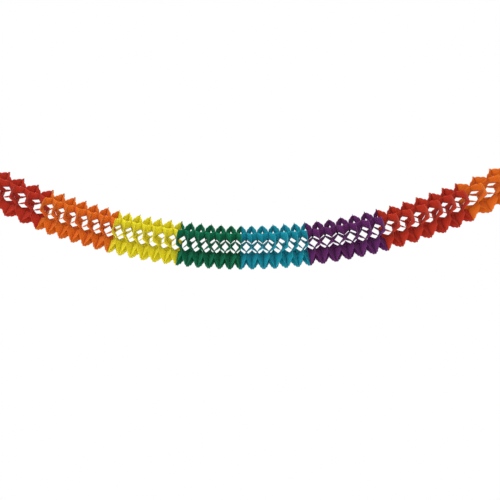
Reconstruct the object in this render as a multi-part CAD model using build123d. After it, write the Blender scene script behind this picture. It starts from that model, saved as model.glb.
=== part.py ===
# Tissue bellows garland: ring sheets glued in turn at their tips and their valleys, hung in a catenary
import math
import os

from build123d import *

# Sheet, in millimetres: a die-cut ring with four petals, whose sides bow outwards by a power of the way along
RING_RADIUS = 83.1
VALLEY_SHARE = 0.658
HOLE_SHARE = 0.385
PETAL_POWER = 1.5
PAPER = 0.2
PETALS = 4

# Flat places where a sheet lies on its neighbour, as shares of the way round from a tip to a valley: at a
# tip's glue, and at each valley beside it. The paper's weight opens the bottom tips.
TOP_TIP_FLAT = 0.33
SIDE_TIP_FLAT = 0.53
BOTTOM_TIP_FLAT = 0.045
TOP_VALLEY_FLAT = 0.076
SIDE_VALLEY_FLAT = 0.218
BOTTOM_VALLEY_FLAT = 0.19

# How far the free inner edge under a top tip's glue leans from its tent to the valley. At the other tips the
# sheets lie together down to that edge.
TOP_LEAN = 0.6

# Colour sections from left to right, each with its pitch along the garland from one tent to the next, and the
# inner end of its top tips' glue as a share of the tip radius
SECTIONS = [
    ("red_left", 57.4, 0.58),
    ("orange_left", 41.8, 0.60),
    ("yellow", 38.0, 0.61),
    ("green", 35.1, 0.66),
    ("teal", 37.9, 0.66),
    ("purple", 43.4, 0.65),
    ("red_right", 50.3, 0.60),
    ("orange_right", 67.9, 0.57),
]
PAIRS = 6

# Hang: the catenary's parameter, and the garland's length from its left end to its lowest point
CATENARY = 1774.0
LEFT_LENGTH = 1048.0

# End cards, with the hole for a hanging thread
CARD = 1.2
THREAD_HOLE = 2.0


def centre(arc):
    """Point on the hanging centre line, at a length along it from the left end, which is the origin."""
    low = arc - LEFT_LENGTH
    x = CATENARY * (math.asinh(low / CATENARY) + math.asinh(LEFT_LENGTH / CATENARY))
    z = math.hypot(CATENARY, low) - math.hypot(CATENARY, LEFT_LENGTH)
    return Vector(x, 0, z)


def tangent(arc):
    """Direction of the centre line at a length along it."""
    slope = math.atan2(arc - LEFT_LENGTH, CATENARY)
    return Vector(math.cos(slope), 0, math.sin(slope))


def point(arc, radius, turn):
    """Point in the cross-section at a length along the garland, turned in degrees from top to back."""
    along = tangent(arc)
    up = Vector(-along.Z, 0, along.X)
    back = Vector(0, 1, 0)
    angle = math.radians(turn)
    return centre(arc) + up * (radius * math.cos(angle)) + back * (radius * math.sin(angle))


def reach(pitch):
    """Radius of a petal tip once its sheets are pulled open, at the same paper length from tip to valley."""
    eighth = math.pi / PETALS
    return math.sqrt(RING_RADIUS**2 - (pitch / 2 / eighth) ** 2)


def cut_edge(tip_radius, valley_radius, share):
    """Radius of the cut edge at a share of the way round from a tip to a valley."""
    return tip_radius - (tip_radius - valley_radius) * share**PETAL_POWER


def by_place(turn, top, side, bottom):
    """Size at a petal turned in degrees from the top, out of the sizes at top, sides and bottom."""
    height = math.cos(math.radians(turn))
    return side + max(height, 0) * (top - side) + max(-height, 0) * (bottom - side)


def triangle(a, b, c):
    """Flat facet through three points."""
    return Face(Wire.make_polygon([a, b, c], close=True))


def strip(a, b, c, d):
    """Two facets between the edge from a to b and the edge from d to c."""
    return [triangle(a, b, c), triangle(a, c, d)]


class FoldedSheet:
    """One ring sheet pulled open between the plane of its tip glue and the plane of its valley glue."""

    half = 180 / PETALS

    def __init__(self, tip_arc, valley_arc, tip_radius, own_radius, top_glue):
        """Keeps the glue planes, as lengths along the garland, the radius reached at each, and the top glue."""
        self.tip_arc = tip_arc
        self.valley_arc = valley_arc
        self.tip_radius = tip_radius
        self.own_radius = own_radius
        self.valley_radius = VALLEY_SHARE * own_radius
        self.hole_radius = HOLE_SHARE * own_radius
        self.top_glue_end = top_glue * tip_radius
        self.paper = math.copysign(PAPER, valley_arc - tip_arc)

    def on_tent(self, radius, turn, depth, lean=0):
        """Point at the plane of the tip glue, or leaning from it, on the tip side (0) or the valley side (1)."""
        arc = self.tip_arc + lean * (self.valley_arc - self.tip_arc) + depth * self.paper
        return point(arc, radius, turn)

    def on_valley(self, radius, turn, depth):
        """Point at the plane of the valley glue."""
        return point(self.valley_arc - (1 - depth) * self.paper, radius, turn)

    def tip_corner(self, tip, way, depth):
        """Where the cut edge leaves the flat place at a tip, one way round or the other."""
        share = by_place(tip, TOP_TIP_FLAT, SIDE_TIP_FLAT, BOTTOM_TIP_FLAT)
        radius = cut_edge(self.tip_radius, self.valley_radius, share)
        return self.on_tent(radius, tip + way * share * self.half, depth)

    def tip_end(self, tip, depth):
        """Inner end of a tip's glue, which is on the inner edge at all tips but the top one."""
        radius = self.hole_radius if tip else self.top_glue_end
        return self.on_tent(radius, tip, depth)

    def valley_corner(self, tip, way, depth):
        """Where the cut edge meets the flat place at the valley beside a tip."""
        share = 1 - by_place(tip, TOP_VALLEY_FLAT, SIDE_VALLEY_FLAT, BOTTOM_VALLEY_FLAT)
        radius = cut_edge(self.own_radius, self.valley_radius, share)
        return self.on_valley(radius, tip + way * share * self.half, depth)

    def sector(self, tip, way):
        """Facets from a tip to the valley beside it, on both sides of the paper and along its cut edges."""
        faces = []
        outer = []
        inner = []
        for depth in (0, 1):
            tip_out = self.tip_corner(tip, way, depth)
            tip_in = self.tip_end(tip, depth)
            valley_out = self.valley_corner(tip, way, depth)
            valley_in = self.on_valley(self.hole_radius, tip + way * self.half, depth)
            free = tip_in
            faces.append(triangle(tip_out, valley_out, tip_in))
            faces.append(triangle(valley_out, valley_in, tip_in))
            if tip == 0:
                free = self.on_tent(self.hole_radius, tip, depth, TOP_LEAN)
                faces.append(triangle(valley_in, free, tip_in))
            outer.append((tip_out, valley_out))
            inner.append((free, valley_in))
        for near, far in (outer, inner):
            faces += strip(near[0], near[1], far[1], far[0])
        return faces

    def tip_spot(self, tip):
        """Flat place at a tip: a kite on both sides and its two outer cut edges."""
        faces = []
        for way in (-1, 1):
            corner = [self.tip_corner(tip, way, depth) for depth in (0, 1)]
            peak = [self.on_tent(self.tip_radius, tip, depth) for depth in (0, 1)]
            for depth in (0, 1):
                faces.append(triangle(corner[depth], peak[depth], self.tip_end(tip, depth)))
            faces += strip(corner[0], peak[0], peak[1], corner[1])
        return faces

    def valley_spot(self, tip, after):
        """Glue down the valley between a tip and the one after it: the open side and the outer cut edge."""
        first = [self.valley_corner(tip, 1, depth) for depth in (0, 1)]
        last = [self.valley_corner(after, -1, depth) for depth in (0, 1)]
        open_side = triangle(first[0], last[0], self.on_valley(self.hole_radius, tip + self.half, 0))
        return [open_side] + strip(first[0], last[0], last[1], first[1])

    def faces(self):
        """All facets of the sheet apart from its valley glue, where it is one with the partner sheet."""
        tips = [2 * self.half * number for number in range(PETALS)]
        found = []
        for tip, after in zip(tips, tips[1:] + tips[:1]):
            found += self.tip_spot(tip)
            found += self.valley_spot(tip, after)
            found += self.sector(tip, 1)
            found += self.sector(tip, -1)
        return found


def glued_pair(left_tent, right_tent, left_radius, right_radius, own_radius, top_glue):
    """Two sheets back to back, one solid through the glue in their four valleys."""
    valley = (left_tent + right_tent) / 2
    left = FoldedSheet(left_tent, valley, left_radius, own_radius, top_glue)
    right = FoldedSheet(right_tent, valley, right_radius, own_radius, top_glue)
    return Solid(Shell(left.faces() + right.faces()))


def end_card(arc, outward):
    """Flat card of the sheets' outline behind an end tent, with the thread hole in its middle."""
    half = 180 / PETALS
    outline = []
    for number in range(PETALS):
        for share in (-0.4, 0, 0.4, 1):
            radius = cut_edge(RING_RADIUS, RING_RADIUS * VALLEY_SHARE, abs(share))
            outline.append((radius, math.radians((2 * number + share) * half)))
    flat = [(radius * math.sin(turn), radius * math.cos(turn)) for radius, turn in outline]
    plane = Plane(origin=centre(arc), x_dir=(0, 1, 0), z_dir=tangent(arc) * outward)
    with BuildPart() as card:
        with BuildSketch(plane):
            Polygon(*flat, align=None)
            Circle(THREAD_HOLE, mode=Mode.SUBTRACT)
        extrude(amount=CARD)
    return card.part


def build():
    """Makes every node, from the left end card to the right one."""
    nodes = {"left_end_card": end_card(0, -1)}
    pitches = [pitch for _, pitch, _ in SECTIONS for _ in range(PAIRS)]
    shared = [reach(a / 2 + b / 2) for a, b in zip(pitches[:1] + pitches, pitches + pitches[-1:])]
    tent = 0
    for row, (name, pitch, top_glue) in enumerate(SECTIONS):
        for count in range(PAIRS):
            left, right = shared[row * PAIRS + count : row * PAIRS + count + 2]
            pair = glued_pair(tent, tent + pitch, left, right, reach(pitch), top_glue)
            nodes[f"{name}_pair_{count + 1}"] = pair
            tent += pitch
    nodes["right_end_card"] = end_card(tent, 1)
    return nodes


os.makedirs("parts", exist_ok=True)
for node, solid in build().items():
    export_step(solid, f"parts/{node}.step")
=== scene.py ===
"""Dresses a tissue bellows garland: scalloped ring sheets, folded and glued in turn, hung in a curve."""

from __future__ import annotations

import logging
import math
from dataclasses import dataclass, field
from enum import Enum

import bmesh
import bpy
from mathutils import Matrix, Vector, noise

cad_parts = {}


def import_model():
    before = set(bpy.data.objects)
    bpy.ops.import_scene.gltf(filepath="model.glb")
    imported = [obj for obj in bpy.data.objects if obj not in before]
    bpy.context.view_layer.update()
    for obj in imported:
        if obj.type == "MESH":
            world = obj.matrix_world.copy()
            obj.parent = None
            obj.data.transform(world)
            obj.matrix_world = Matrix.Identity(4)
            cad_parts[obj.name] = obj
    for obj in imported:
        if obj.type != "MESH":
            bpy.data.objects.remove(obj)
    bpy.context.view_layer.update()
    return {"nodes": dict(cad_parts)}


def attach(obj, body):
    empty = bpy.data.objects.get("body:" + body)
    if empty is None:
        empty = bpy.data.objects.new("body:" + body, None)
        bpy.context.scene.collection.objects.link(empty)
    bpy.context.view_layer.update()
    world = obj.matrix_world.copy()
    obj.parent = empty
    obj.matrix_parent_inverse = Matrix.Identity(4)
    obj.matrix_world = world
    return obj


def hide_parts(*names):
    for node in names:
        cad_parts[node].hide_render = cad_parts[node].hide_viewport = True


LOG = logging.getLogger("garland")

Colour = tuple[float, float, float]
Settings = dict[str, object]
Inputs = dict[object, object]


def opaque(colour: Colour) -> tuple[float, float, float, float]:
    """A colour as a shader's socket takes it."""
    return (*colour, 1.0)


class Value:
    """A shader socket that takes part in Python sums: each operator adds one Math node."""

    def __init__(self, tree: FinishTree, socket: bpy.types.NodeSocket) -> None:
        """Keeps the socket and the tree that new nodes go to.

        Args:
            tree: the finish that the socket belongs to.
            socket: an output socket that carries a number.
        """
        self.tree = tree
        self.socket = socket

    def _join(self, operation: str, first: object, second: object) -> Value:
        """Adds one Math node.

        Args:
            operation: the Math node's operation.
            first: its first number or value.
            second: its second number or value.

        Returns:
            The node's result.
        """
        made = self.tree.node("ShaderNodeMath", {"operation": operation}, {0: first, 1: second})
        return Value(self.tree, made.outputs[0])

    def __add__(self, other: object) -> Value:
        """This plus another."""
        return self._join("ADD", self, other)

    def __radd__(self, other: object) -> Value:
        """Another plus this."""
        return self._join("ADD", other, self)

    def __sub__(self, other: object) -> Value:
        """This less another."""
        return self._join("SUBTRACT", self, other)

    def __rsub__(self, other: object) -> Value:
        """Another less this."""
        return self._join("SUBTRACT", other, self)

    def __mul__(self, other: object) -> Value:
        """This times another."""
        return self._join("MULTIPLY", self, other)

    def __rmul__(self, other: object) -> Value:
        """Another times this."""
        return self._join("MULTIPLY", other, self)

    def power(self, exponent: float) -> Value:
        """This to a power."""
        return self._join("POWER", self, exponent)

    def least(self, other: object) -> Value:
        """The lesser of this and another."""
        return self._join("MINIMUM", self, other)


class FinishTree:
    """A material's or world's node tree, emptied and filled by one method."""

    def __init__(self, owner: bpy.types.ID) -> None:
        """Empties the owner's tree.

        Args:
            owner: a material or a world.
        """
        owner.use_nodes = True
        self.tree = owner.node_tree
        self.tree.nodes.clear()

    def node(self, kind: str, settings: Settings, inputs: Inputs) -> bpy.types.Node:
        """Makes any node.

        Args:
            kind: the node's type name.
            settings: its properties, set before its sockets.
            inputs: a value, a socket or a Value for each input, by name or number.

        Returns:
            The new node.
        """
        made = self.tree.nodes.new(kind)
        for name, setting in settings.items():
            setattr(made, name, setting)
        for name, given in inputs.items():
            source = given.socket if isinstance(given, Value) else given
            if isinstance(source, bpy.types.NodeSocket):
                self.tree.links.new(source, made.inputs[name])
            else:
                made.inputs[name].default_value = source
        return made

    def value(self, kind: str, settings: Settings, inputs: Inputs, output: object = 0) -> Value:
        """Makes a node and hands on one of its outputs as a Value.

        Args:
            kind: the node's type name.
            settings: its properties.
            inputs: its sockets.
            output: the output's name or number.

        Returns:
            The output, ready for sums.
        """
        return Value(self, self.node(kind, settings, inputs).outputs[output])

    def blend(self, share: object, first: object, second: object) -> bpy.types.NodeSocket:
        """Mixes two colours.

        Args:
            share: how much of the second.
            first: the first colour.
            second: the second colour.

        Returns:
            The mixed colour's socket.
        """
        made = self.node("ShaderNodeMix", {"data_type": "RGBA"}, {0: share, 6: first, 7: second})
        return made.outputs[2]


@dataclass(frozen=True)
class Grain:
    """One noise over paper: its waves in a metre, its octaves and the share of the finer ones."""

    scale: float
    detail: float
    rough: float

    def over(self, tree: FinishTree, place: bpy.types.NodeSocket) -> Value:
        """Adds the noise to a finish.

        Args:
            tree: the finish's tree.
            place: the coordinates.

        Returns:
            The noise, from 0 to 1.
        """
        inputs = {"Vector": place, "Scale": self.scale, "Detail": self.detail, "Roughness": self.rough}
        return tree.value("ShaderNodeTexNoise", {}, inputs, "Fac")


@dataclass(frozen=True)
class TissueFinish:
    """Dyed tissue paper: thin, matt, with fibres, a mottled dye and light that comes through it.

    The dye lies between its deep and its own colour, fibres are pale, cut edges are pale as a painted
    highlight, and glue makes it deeper.
    """

    name: str
    dye: Colour
    deep: Colour
    pale: Colour
    glow: Colour
    through: float = 0.45
    glue_shade: float = 0.5
    mottle: Grain = Grain(42.0, 4.0, 0.6)
    mottle_spread: float = 1.2
    mottle_start: float = 0.15
    mottle_through: float = 0.06
    fibre: Grain = Grain(620.0, 6.0, 0.75)
    fleck_power: float = 3.0
    flecks: float = 0.55
    soaking: float = 0.22
    # Share of the pale colour painted on the cut edges as a highlight.
    edge_highlight: float = 0.1
    ripple: Grain = Grain(150.0, 4.0, 0.55)
    ripple_height: float = 0.45
    crease_scale: float = 48.0
    crease_sharpness: float = 7.0
    crease_height: float = 0.3
    fibre_height: float = 0.25
    bump: float = 0.45
    bump_depth: float = 0.001
    roughness: float = 0.82
    fibre_roughness: float = 0.14
    gloss: float = 0.12
    sheen: float = 0.04

    def material(self) -> bpy.types.Material:
        """Builds the finish.

        Returns:
            The material, which reads Object coordinates and the sheet's glue, edge and tone_and_shade
            attributes.
        """
        made = bpy.data.materials.new(self.name)
        tree = FinishTree(made)
        place = tree.node("ShaderNodeTexCoord", {}, {}).outputs["Object"]
        glue, edge, tone_and_shade = (self._mark(tree, name) for name in ("glue", "edge", "tone_and_shade"))
        mottle = self.mottle.over(tree, place)
        fibre = self.fibre.over(tree, place)
        # Mottle and the per-sheet random shift are the paper's own; the section's painted shade comes in
        # through the same mark.
        dye_and_shade_share = mottle * self.mottle_spread - self.mottle_start + tone_and_shade
        dyed = tree.blend(dye_and_shade_share, opaque(self.deep), opaque(self.dye))
        flecked = tree.blend(fibre.power(self.fleck_power) * self.flecks, dyed, opaque(self.pale))
        soaked = tree.blend(glue * self.soaking, flecked, opaque(self.deep))
        # Painted highlight: the cut edges, inner and outer, are lightened towards the pale colour.
        highlighted_edges = tree.blend(edge * self.edge_highlight, soaked, opaque(self.pale))
        paper = tree.node(
            "ShaderNodeBsdfPrincipled",
            {},
            {
                "Base Color": highlighted_edges,
                "Roughness": self.roughness + fibre * self.fibre_roughness,
                "Specular IOR Level": self.gloss,
                "Sheen Weight": self.sheen,
                "Normal": self._relief(tree, place, fibre),
            },
        )
        glow = tree.node("ShaderNodeBsdfTranslucent", {}, {"Color": opaque(self.glow)})
        share = self.through - glue * (self.glue_shade * self.through) + mottle * self.mottle_through
        mixed = tree.node("ShaderNodeMixShader", {}, {0: share, 1: paper.outputs[0], 2: glow.outputs[0]})
        tree.node("ShaderNodeOutputMaterial", {}, {0: mixed.outputs[0]})
        return made

    @staticmethod
    def _mark(tree: FinishTree, name: str) -> Value:
        """One of the marks that every sheet carries."""
        return tree.value("ShaderNodeAttribute", {"attribute_name": name}, {}, "Fac")

    def _relief(self, tree: FinishTree, place: bpy.types.NodeSocket, fibre: Value) -> bpy.types.NodeSocket:
        """Soft ripples crossed by faint creases, as in handled tissue, and the fibres over them.

        Args:
            tree: the finish's tree.
            place: the coordinates.
            fibre: the noise of the fibres.

        Returns:
            The normal's socket.
        """
        ripple = self.ripple.over(tree, place)
        settings = {"feature": "DISTANCE_TO_EDGE"}
        inputs = {"Vector": place, "Scale": self.crease_scale}
        crease = tree.value("ShaderNodeTexVoronoi", settings, inputs, "Distance")
        between_creases = (crease * self.crease_sharpness).least(1.0)
        crinkle = ripple * self.ripple_height + between_creases * self.crease_height
        height = crinkle + fibre * self.fibre_height
        inputs = {"Strength": self.bump, "Distance": self.bump_depth, "Height": height}
        return tree.node("ShaderNodeBump", {}, inputs).outputs[0]


class Tissue(Enum):
    """The garland's six dyed papers."""

    RED = TissueFinish(
        "red_tissue",
        dye=(0.48, 0.040, 0.017),
        deep=(0.36, 0.025, 0.012),
        pale=(0.62, 0.12, 0.07),
        glow=(0.64, 0.056, 0.025),
    )
    ORANGE = TissueFinish(
        "orange_tissue",
        dye=(0.72, 0.205, 0.016),
        deep=(0.58, 0.138, 0.011),
        pale=(0.77, 0.34, 0.08),
        glow=(0.79, 0.26, 0.021),
    )
    YELLOW = TissueFinish(
        "yellow_tissue",
        dye=(0.76, 0.70, 0.021),
        deep=(0.63, 0.56, 0.009),
        pale=(0.82, 0.77, 0.20),
        glow=(0.80, 0.75, 0.031),
    )
    GREEN = TissueFinish(
        "green_tissue",
        dye=(0.004, 0.215, 0.105),
        deep=(0.002, 0.135, 0.065),
        pale=(0.03, 0.34, 0.20),
        glow=(0.006, 0.305, 0.150),
    )
    TEAL = TissueFinish(
        "teal_tissue",
        dye=(0.009, 0.34, 0.42),
        deep=(0.005, 0.23, 0.30),
        pale=(0.05, 0.46, 0.54),
        glow=(0.014, 0.47, 0.56),
    )
    PURPLE = TissueFinish(
        "purple_tissue",
        dye=(0.165, 0.029, 0.172),
        deep=(0.100, 0.017, 0.103),
        pale=(0.28, 0.09, 0.28),
        glow=(0.24, 0.040, 0.25),
    )


@dataclass(frozen=True)
class CardFinish:
    """Plain grey-white card, faintly clouded, with flecks of pulp."""

    name: str = "end_card"
    face: Colour = (0.62, 0.6, 0.55)
    fleck: Colour = (0.4, 0.37, 0.32)
    pulp: Grain = Grain(320.0, 6.0, 0.7)
    fleck_power: float = 4.0
    flecks: float = 1.6
    cloud: Grain = Grain(24.0, 3.0, 0.5)
    clouding: float = 0.2
    bump: float = 0.2
    bump_depth: float = 0.0005
    roughness: float = 0.78
    pulp_roughness: float = 0.15

    def material(self) -> bpy.types.Material:
        """Builds the finish.

        Returns:
            The material.
        """
        made = bpy.data.materials.new(self.name)
        tree = FinishTree(made)
        place = tree.node("ShaderNodeTexCoord", {}, {}).outputs["Object"]
        pulp = self.pulp.over(tree, place)
        share = pulp.power(self.fleck_power) * self.flecks + self.cloud.over(tree, place) * self.clouding
        bump_inputs = {"Strength": self.bump, "Distance": self.bump_depth, "Height": pulp}
        card = tree.node(
            "ShaderNodeBsdfPrincipled",
            {},
            {
                "Base Color": tree.blend(share, opaque(self.face), opaque(self.fleck)),
                "Roughness": self.roughness + pulp * self.pulp_roughness,
                "Normal": tree.node("ShaderNodeBump", {}, bump_inputs).outputs[0],
            },
        )
        tree.node("ShaderNodeOutputMaterial", {}, {0: card.outputs[0]})
        return made


@dataclass(frozen=True)
class HangingCurve:
    """Catenary that the garland's middle follows, in metres, with its left end at the origin."""

    parameter: float = 1.774
    left_length: float = 1.048

    def lowest(self) -> Vector:
        """The lowest point of the garland's middle."""
        return self.centre(self.left_length)

    def centre(self, arc: float) -> Vector:
        """Point on the middle line.

        Args:
            arc: length along the line from the left end.

        Returns:
            The point.
        """
        low = arc - self.left_length
        span = math.asinh(low / self.parameter) + math.asinh(self.left_length / self.parameter)
        rise = math.hypot(self.parameter, low) - math.hypot(self.parameter, self.left_length)
        return Vector((self.parameter * span, 0.0, rise))

    def place(self, arc: float, radius: float, turn: float) -> Vector:
        """Point in the cross-section at a length along the line.

        Args:
            arc: length along the line from the left end.
            radius: distance from the line.
            turn: angle in radians from the top to the back.

        Returns:
            The point.
        """
        slope = math.atan2(arc - self.left_length, self.parameter)
        up = Vector((-math.sin(slope), 0.0, math.cos(slope)))
        across = Vector((0.0, 1.0, 0.0))
        return self.centre(arc) + up * (radius * math.cos(turn)) + across * (radius * math.sin(turn))


@dataclass(frozen=True)
class PetalHang:
    """How half a petal hangs: its flat places, the run between them and the lean of its free edge.

    The flats are shares of the way round from tip to valley, and softness rounds the run's ends. The lean is
    that of the free inner edge under the tip's glue, as a share of the way to the plane of the valley glue.
    """

    tip_flat: float
    valley_flat: float
    softness: float
    lean: float = 0.0

    def run(self, share: float) -> float:
        """Straight run from tip to valley with softened ends.

        Args:
            share: place along the run, where 0 to 1 is free and the rest is flat.

        Returns:
            The place between the planes of the tip glue, 0, and the valley glue, 1.
        """
        share = min(max(share, 0.0), 1.0)
        curved = share * share * (3.0 - 2.0 * share)
        return share + (curved - share) * self.softness


@dataclass(frozen=True)
class SheetCut:
    """Die-cut ring sheet with four petals, a scalloped edge and an open middle, and how its petals hang."""

    radius: float = 0.0831
    valley_share: float = 0.658
    hole_share: float = 0.385
    power: float = 1.5
    paper: float = 0.0002
    petals: int = 4
    scallops: int = 32
    scallop_depth: float = 0.003
    scallop_power: float = 1.5
    steps: int = 192
    rows: int = 8
    top: PetalHang = PetalHang(0.33, 0.076, 0.75, 0.6)
    side_above: PetalHang = PetalHang(0.53, 0.151, 0.48)
    side_below: PetalHang = PetalHang(0.463, 0.218, 0.48)
    bottom: PetalHang = PetalHang(0.045, 0.19, 0.44)

    @property
    def eighth(self) -> float:
        """Angle in radians from a tip to a valley."""
        return math.pi / self.petals

    def reach(self, pitch: float) -> float:
        """Tip radius once the sheets are pulled open.

        Args:
            pitch: length of garland from one tent to the next.

        Returns:
            The radius, with the paper's length from tip to valley kept.
        """
        return math.sqrt(self.radius**2 - (pitch / 2 / self.eighth) ** 2)

    def flat_ring(self) -> bmesh.types.BMesh:
        """Spins a row of points into a flat ring.

        Returns:
            The ring between radius 1, its open middle, and radius 2, its cut edge.
        """
        made = bmesh.new()
        row = [made.verts.new((1.0 + count / self.rows, 0.0, 0.0)) for count in range(self.rows + 1)]
        line = [made.edges.new(pair) for pair in zip(row, row[1:])]
        bmesh.ops.spin(
            made,
            geom=row + line,
            cent=(0.0, 0.0, 0.0),
            axis=(0.0, 0.0, 1.0),
            angle=math.tau,
            steps=self.steps,
            use_merge=True,
        )
        bmesh.ops.recalc_face_normals(made, faces=made.faces)
        return made

    @staticmethod
    def on_ring(vert: bmesh.types.BMVert) -> tuple[float, float]:
        """The turn of a flat ring's point in radians, and its share of the way from middle to cut edge."""
        return math.atan2(vert.co.y, vert.co.x), math.hypot(vert.co.x, vert.co.y) - 1.0

    def outline(self, share: float, tip_radius: float, valley_radius: float) -> float:
        """Radius of the plain cut edge.

        Args:
            share: way round from a tip, 0, to a valley, 1.
            tip_radius: radius of the petal's tip.
            valley_radius: radius half way between two petals.

        Returns:
            The radius there.
        """
        return tip_radius - (tip_radius - valley_radius) * share**self.power

    def scallop(self, turn: float) -> float:
        """How far the scalloped edge lies inside the plain one."""
        dent = 1.0 - abs(math.cos(turn * self.scallops / 2))
        return self.scallop_depth * dent**self.scallop_power

    def from_tip(self, turn: float) -> float:
        """Way round from the nearest petal tip, 0, to a valley, 1."""
        return abs((turn + self.eighth) % (2 * self.eighth) - self.eighth) / self.eighth

    def hang(self, turn: float) -> PetalHang:
        """How the sheet hangs in a direction.

        Args:
            turn: angle in radians from the top, to the back or to the front.

        Returns:
            The hang of the petal's half there.
        """
        halves = (self.top, self.side_above, self.side_below, self.bottom)
        return halves[min(int(abs(turn) / self.eighth), len(halves) - 1)]


@dataclass(frozen=True)
class Sway:
    """How the sheets turn from square to the hanging curve, as in a garland that was hung by hand.

    Each turn is a length along the garland and the slope of the sheets there, from the front to the back.
    """

    turns: tuple[tuple[float, float], ...] = (
        (0.000, 0.000),
        (0.448, 0.010),
        (0.618, -0.082),
        (0.748, 0.123),
        (0.848, 0.059),
        (0.938, 0.016),
        (1.018, -0.053),
        (1.098, 0.053),
        (1.178, -0.118),
        (1.268, 0.023),
        (1.378, 0.127),
        (1.508, -0.009),
        (1.668, -0.103),
        (1.868, -0.022),
        (2.231, 0.000),
    )

    def slope(self, arc: float) -> float:
        """Slope of the sheets at a length along the garland.

        Args:
            arc: the length from the left end.

        Returns:
            How far a point moves along the garland for each metre that it lies to the back.
        """
        for (start, before), (end, after) in zip(self.turns, self.turns[1:]):
            if arc <= end:
                share = min(max((arc - start) / (end - start), 0.0), 1.0)
                return before + (after - before) * share
        return 0.0


class Chance(Enum):
    """What differs by chance from sheet to sheet: its start in a noise, and its step there for each sheet."""

    TONE = ((0.0, 4.2, 0.8), (1.37, 0.0, 0.0))
    LEAN = ((0.0, 0.0, 0.5), (3.7, 0.0, 0.0))
    FLUTTER_ALONG = ((0.0, 0.0, 0.0), (0.0, 0.0, 2.3))
    FLUTTER_INWARD = ((7.0, 0.0, 0.0), (0.0, 0.0, 1.9))

    def draw(self, sheet: int, where: Vector) -> float:
        """One number, the same on every run.

        Args:
            sheet: the sheet's number along the garland.
            where: the point's place in the noise, or zero for what is the same all over a sheet.

        Returns:
            The number, from -1 to 1.
        """
        starts, steps = self.value
        return noise.noise(where + Vector([start + step * sheet for start, step in zip(starts, steps)]))


@dataclass
class FoldedSheet:
    """One ring sheet pulled open between the plane of its tip glue and the plane of its valley glue."""

    cut: SheetCut
    curve: HangingCurve
    sway: Sway
    tip_arc: float
    valley_arc: float
    tip_radius: float
    own_radius: float
    top_glue: float
    shade: float
    number: int
    flutter: float = 0.0011
    flutter_scale: float = 34.0
    inward_flutter: float = 0.4
    lean_spread: float = 0.35
    tone_spread: float = 0.3
    rim: float = 0.01

    def shape(self, ring: bmesh.types.BMesh) -> None:
        """Folds a flat ring into the hung sheet and marks its glue, its cut edge for a painted highlight, and
        its own random colour shift with the section's painted shade added.

        Args:
            ring: a copy of the flat ring, changed in place.
        """
        glue = ring.verts.layers.float.new("glue")
        edge = ring.verts.layers.float.new("edge")
        tone_and_shade = ring.verts.layers.float.new("tone_and_shade")
        # Random per-sheet variation plus the section's painted shade.
        own_tone_and_shade = self.shade + self.tone_spread * Chance.TONE.draw(self.number, Vector())
        own_lean = 1.0 + self.lean_spread * Chance.LEAN.draw(self.number, Vector())
        for vert in ring.verts:
            turn, share = self.cut.on_ring(vert)
            vert.co, vert[glue] = self._folded(turn, share, own_lean)
            # Marks the inner and outer cut edges for the painted highlight.
            vert[edge] = 1.0 if min(share, 1.0 - share) < self.rim else 0.0
            vert[tone_and_shade] = own_tone_and_shade

    def _folded(self, turn: float, share: float, own_lean: float) -> tuple[Vector, float]:
        """Place of one point of the sheet.

        Args:
            turn: angle in radians from the top.
            share: place from the open middle, 0, to the cut edge, 1.
            own_lean: how much more or less than others this sheet's free edges lean, about 1.

        Returns:
            The point, and how much glue is there.
        """
        cut = self.cut
        petal = cut.hang(turn)
        hole = cut.hole_share * self.own_radius
        valley = cut.valley_share * self.own_radius
        glue_end = self.top_glue * self.tip_radius if petal is cut.top else hole
        way = cut.from_tip(turn)
        edge = cut.outline(way, self.tip_radius, valley) - cut.scallop(turn)
        radius = hole + (edge - hole) * share
        tip_corner = cut.outline(petal.tip_flat, self.tip_radius, valley)
        valley_corner = cut.outline(1.0 - petal.valley_flat, self.own_radius, valley)
        tip_flat = petal.tip_flat * tip_corner * self._between(radius, glue_end, tip_corner)
        valley_flat = petal.valley_flat * valley_corner * self._between(radius, hole, valley_corner)
        along = (way * radius - tip_flat) / (radius - tip_flat - valley_flat)
        start = petal.lean * (1.0 - self._between(radius, hole, glue_end)) * own_lean
        fold = start + (1.0 - start) * petal.run(along)
        inset = math.copysign(cut.paper / 2, self.valley_arc - self.tip_arc)
        arc = self.tip_arc + inset + (self.valley_arc - self.tip_arc - 2 * inset) * fold
        loose = self.flutter * max(4.0 * fold * (1.0 - fold), 0.0)
        where = Vector((math.cos(turn), math.sin(turn), 0.0)) * (radius * self.flutter_scale)
        arc += loose * Chance.FLUTTER_ALONG.draw(self.number, where)
        radius += self.inward_flutter * loose * Chance.FLUTTER_INWARD.draw(self.number, where)
        held = 1.0 if along <= 0.0 and radius > glue_end or along >= 1.0 else 0.0
        arc += self.sway.slope(arc) * radius * math.sin(turn)
        return self.curve.place(arc, radius, turn), held

    @staticmethod
    def _between(radius: float, inner: float, outer: float) -> float:
        """Place of a radius between two others, from 0 to 1, or a step where the two are the same."""
        nearest = 1e-6
        return min(max((radius - inner) / max(outer - inner, nearest), 0.0), 1.0)


def paper_piece(
    node: str, shape: bmesh.types.BMesh, wall: float, finish: bpy.types.Material
) -> bpy.types.Object:
    """Turns a shape of no thickness into a piece of paper or card.

    Args:
        node: the CAD node that the piece stands for.
        shape: the shape, which is freed.
        wall: the thickness of the paper or card.
        finish: its material.

    Returns:
        The finished piece.
    """
    mesh = bpy.data.meshes.new(f"{node}_paper")
    shape.to_mesh(mesh)
    shape.free()
    mesh.shade_smooth()
    mesh.materials.append(finish)
    piece = bpy.data.objects.new(f"{node}_paper", mesh)
    bpy.context.scene.collection.objects.link(piece)
    solid = piece.modifiers.new("wall", "SOLIDIFY")
    solid.thickness = wall
    solid.offset = 0.0
    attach(piece, "root")
    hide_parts(node)
    return piece


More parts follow.
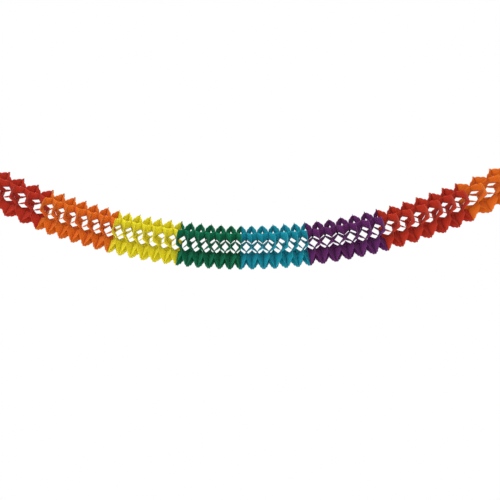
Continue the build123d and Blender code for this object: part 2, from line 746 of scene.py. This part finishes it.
@dataclass
class SheetPair:
    """Two ring sheets of one colour, glued back to back down their valleys."""

    node: str
    slot: str
    sheets: list[FoldedSheet]
    finish: bpy.types.Material

    def build(self, ring: bmesh.types.BMesh) -> bpy.types.Object:
        """Makes the pair's mesh and object.

        Args:
            ring: the flat ring that every sheet starts from.

        Returns:
            The finished piece, which stands for its node.
        """
        both = bmesh.new()
        for sheet in self.sheets:
            folded = ring.copy()
            sheet.shape(folded)
            single = bpy.data.meshes.new("single_sheet")
            folded.to_mesh(single)
            folded.free()
            both.from_mesh(single)
            bpy.data.meshes.remove(single)
        return paper_piece(self.node, both, self.sheets[0].cut.paper, self.finish)


@dataclass
class EndCard:
    """Plain card of the sheets' outline behind an end tent, with the hole for a hanging thread."""

    node: str
    middle_arc: float
    cut: SheetCut
    curve: HangingCurve
    finish: bpy.types.Material
    thickness: float
    thread_hole: float = 0.002
    rim_share: float = 0.2
    rim_segments: int = 2

    def build(self) -> bpy.types.Object:
        """Makes the card.

        Returns:
            The finished piece, which stands for its node.
        """
        cut = self.cut
        shape = cut.flat_ring()
        for vert in shape.verts:
            turn, share = cut.on_ring(vert)
            edge = cut.outline(cut.from_tip(turn), cut.radius, cut.radius * cut.valley_share)
            radius = self.thread_hole + (edge - cut.scallop(turn) - self.thread_hole) * share
            vert.co = self.curve.place(self.middle_arc, radius, turn)
        piece = paper_piece(self.node, shape, self.thickness, self.finish)
        rounding = piece.modifiers.new("pressed_edge", "BEVEL")
        rounding.width = self.thickness * self.rim_share
        rounding.segments = self.rim_segments
        return piece


@dataclass(frozen=True)
class Section:
    """One colour of the garland.

    Pitch is the length in metres from one tent to the next. Top glue is the inner end of the top tips' glue,
    as a share of the tip's radius. Shade is painted shade: it makes the paper paler, or deeper below zero,
    than its finish says.
    """

    name: str
    tissue: Tissue
    pitch: float
    top_glue: float
    shade: float = 0.0


@dataclass
class Garland:
    """All colour sections in order along the hanging curve, and a card at each end."""

    curve: HangingCurve = field(default_factory=HangingCurve)
    cut: SheetCut = field(default_factory=SheetCut)
    sway: Sway = field(default_factory=Sway)
    card: float = 0.0012
    pairs: int = 6
    sections: tuple[Section, ...] = (
        Section("red_left", Tissue.RED, 0.0574, 0.58),
        Section("orange_left", Tissue.ORANGE, 0.0418, 0.60),
        Section("yellow", Tissue.YELLOW, 0.0380, 0.61),
        Section("green", Tissue.GREEN, 0.0351, 0.69),
        Section("teal", Tissue.TEAL, 0.0379, 0.69),
        Section("purple", Tissue.PURPLE, 0.0434, 0.68),
        Section("red_right", Tissue.RED, 0.0503, 0.60),
        # The right-hand orange section is deepened by -0.4 of painted shade.
        Section("orange_right", Tissue.ORANGE, 0.0679, 0.57, -0.4),
    )

    def build(self) -> list[bpy.types.Object]:
        """Makes every pair of sheets and the two end cards.

        Returns:
            The pairs from left to right, then the cards.
        """
        finishes = {tissue: tissue.value.material() for tissue in Tissue}
        ring = self.cut.flat_ring()
        pitches = [section.pitch for section in self.sections for _ in range(self.pairs)]
        arc = 0.0
        made = []
        for section in self.sections:
            for count in range(self.pairs):
                here = len(made)
                before = pitches[max(here - 1, 0)]
                after = pitches[min(here + 1, len(pitches) - 1)]
                sheets = self._sheets(arc, section, before, after, here)
                node = f"{section.name}_pair_{count + 1}"
                pair = SheetPair(node, section.tissue.value.name, sheets, finishes[section.tissue])
                made.append(pair.build(ring))
                arc += section.pitch
        ring.free()
        finish = CardFinish().material()
        for node, middle in (("left_end_card", -self.card / 2), ("right_end_card", arc + self.card / 2)):
            made.append(EndCard(node, middle, self.cut, self.curve, finish, self.card).build())
        return made

    def _sheets(
        self, arc: float, section: Section, before: float, after: float, pair: int
    ) -> list[FoldedSheet]:
        """Places one pair's two sheets.

        Args:
            arc: the left tent's length along the curve.
            section: the pair's colour section.
            before: the pitch of the pair to the left.
            after: the pitch of the pair to the right.
            pair: the pair's number along the garland.

        Returns:
            The left and the right sheet.
        """
        pitch = section.pitch
        tents = ((arc, (before + pitch) / 2), (arc + pitch, (pitch + after) / 2))
        return [
            FoldedSheet(
                cut=self.cut,
                curve=self.curve,
                sway=self.sway,
                tip_arc=tent,
                valley_arc=arc + pitch / 2,
                tip_radius=self.cut.reach(shared_pitch),
                own_radius=self.cut.reach(pitch),
                top_glue=section.top_glue,
                shade=section.shade,
                number=2 * pair + side,
            )
            for side, (tent, shared_pitch) in enumerate(tents)
        ]


@dataclass(frozen=True)
class Lamp:
    """A soft square lamp: its place from the point it faces, its side in metres and its power in watts."""

    name: str
    offset: tuple[float, float, float]
    size: float
    watts: float

    def build(self, target: Vector) -> None:
        """Hangs the lamp.

        Args:
            target: the point that it faces.
        """
        data = bpy.data.lights.new(self.name, "AREA")
        data.shape = "SQUARE"
        data.size = self.size
        data.energy = self.watts
        lamp = bpy.data.objects.new(self.name, data)
        lamp.location = target + Vector(self.offset)
        lamp.rotation_euler = (-Vector(self.offset)).to_track_quat("-Z", "Y").to_euler()
        bpy.context.scene.collection.objects.link(lamp)


@dataclass
class Studio:
    """White surroundings, a pale floor, soft lamps and the camera a little below the garland.

    Pixel is the size in metres of a pixel of the photograph at the garland, and lowest pixel is where the
    lowest point of the garland's middle is in its frame.
    """

    sky: float = 1.3
    sky_colour: Colour = (1.0, 0.99, 0.97)
    backdrop: Colour = (1.0, 1.0, 1.0)
    floor_height: float = -2.3
    floor_middle: float = 1.0
    floor_size: float = 9.0
    floor_colour: Colour = (0.86, 0.86, 0.85)
    floor_roughness: float = 0.9
    lamps: tuple[Lamp, ...] = (
        Lamp("key_lamp", (-1.7, -3.3, 0.2), 2.8, 113.0),
        Lamp("fill_lamp", (0.0, -3.0, -1.5), 2.4, 55.0),
    )
    distance: float = 5.56
    tilt: float = math.radians(16.8)
    pixel: float = 0.003404
    frame: int = 500
    lowest_pixel: tuple[float, float] = (244.9, 247.2)
    sensor: float = 36.0
    farthest: float = 60.0

    def build(self, curve: HangingCurve) -> None:
        """Makes the surroundings.

        Args:
            curve: the hanging curve that the camera is aimed by.
        """
        self._world()
        self._floor()
        target = self._target(curve)
        for lamp in self.lamps:
            lamp.build(target)
        self._camera(target)
        bpy.context.scene.view_settings.view_transform = "Standard"

    def _target(self, curve: HangingCurve) -> Vector:
        """Point of the garland's plane at the middle of the frame.

        Args:
            curve: the hanging curve.

        Returns:
            The point.
        """
        middle = self.frame / 2
        across = (middle - self.lowest_pixel[0]) * self.pixel
        down = (middle - self.lowest_pixel[1]) * self.pixel / math.cos(self.tilt)
        return curve.lowest() + Vector((across, 0.0, -down))

    def _world(self) -> None:
        """White to the camera and to gloss, and a plain even light to the paper."""
        world = bpy.data.worlds.new("surroundings")
        bpy.context.scene.world = world
        tree = FinishTree(world)
        path = tree.node("ShaderNodeLightPath", {}, {})
        seen = Value(tree, path.outputs["Is Camera Ray"]) + Value(tree, path.outputs["Is Glossy Ray"])
        seen = seen + Value(tree, path.outputs["Is Transmission Ray"])
        white_inputs = {"Color": opaque(self.backdrop), "Strength": 1.0}
        light_inputs = {"Color": opaque(self.sky_colour), "Strength": self.sky}
        white = tree.node("ShaderNodeBackground", {}, white_inputs)
        light = tree.node("ShaderNodeBackground", {}, light_inputs)
        mixed = tree.node("ShaderNodeMixShader", {}, {0: seen, 1: light.outputs[0], 2: white.outputs[0]})
        tree.node("ShaderNodeOutputWorld", {}, {0: mixed.outputs[0]})

    def _floor(self) -> None:
        """A plain pale floor well below the garland."""
        mesh = bpy.data.meshes.new("floor")
        shape = bmesh.new()
        bmesh.ops.create_grid(shape, x_segments=1, y_segments=1, size=self.floor_size)
        bmesh.ops.translate(shape, verts=shape.verts, vec=(self.floor_middle, 0.0, self.floor_height))
        shape.to_mesh(mesh)
        shape.free()
        finish = bpy.data.materials.new("floor_paint")
        tree = FinishTree(finish)
        paint_inputs = {"Base Color": opaque(self.floor_colour), "Roughness": self.floor_roughness}
        paint = tree.node("ShaderNodeBsdfPrincipled", {}, paint_inputs)
        tree.node("ShaderNodeOutputMaterial", {}, {0: paint.outputs[0]})
        mesh.materials.append(finish)
        floor = bpy.data.objects.new("floor", mesh)
        bpy.context.scene.collection.objects.link(floor)

    def _camera(self, target: Vector) -> None:
        """The camera, below the garland and looking up at it.

        Args:
            target: the point at the middle of the frame.
        """
        data = bpy.data.cameras.new("photo_camera")
        data.sensor_width = self.sensor
        data.lens = self.sensor * self.distance / (self.frame * self.pixel)
        data.clip_end = self.farthest
        camera = bpy.data.objects.new("photo_camera", data)
        back = Vector((0.0, -math.cos(self.tilt), -math.sin(self.tilt)))
        camera.location = target + back * self.distance
        camera.rotation_euler = (math.pi / 2 + self.tilt, 0.0, 0.0)
        bpy.context.scene.collection.objects.link(camera)
        bpy.context.scene.camera = camera


def main() -> None:
    """Loads the frame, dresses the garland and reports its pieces."""
    logging.basicConfig(level=logging.INFO, format="%(name)s: %(message)s")
    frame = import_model()
    garland = Garland()
    pieces = garland.build()
    for piece in pieces:
        LOG.info("made %s", piece.name)
    LOG.info("%d pieces made for %d nodes", len(pieces), len(frame["nodes"]))
    Studio().build(garland.curve)


if __name__ == "__main__":
    main()
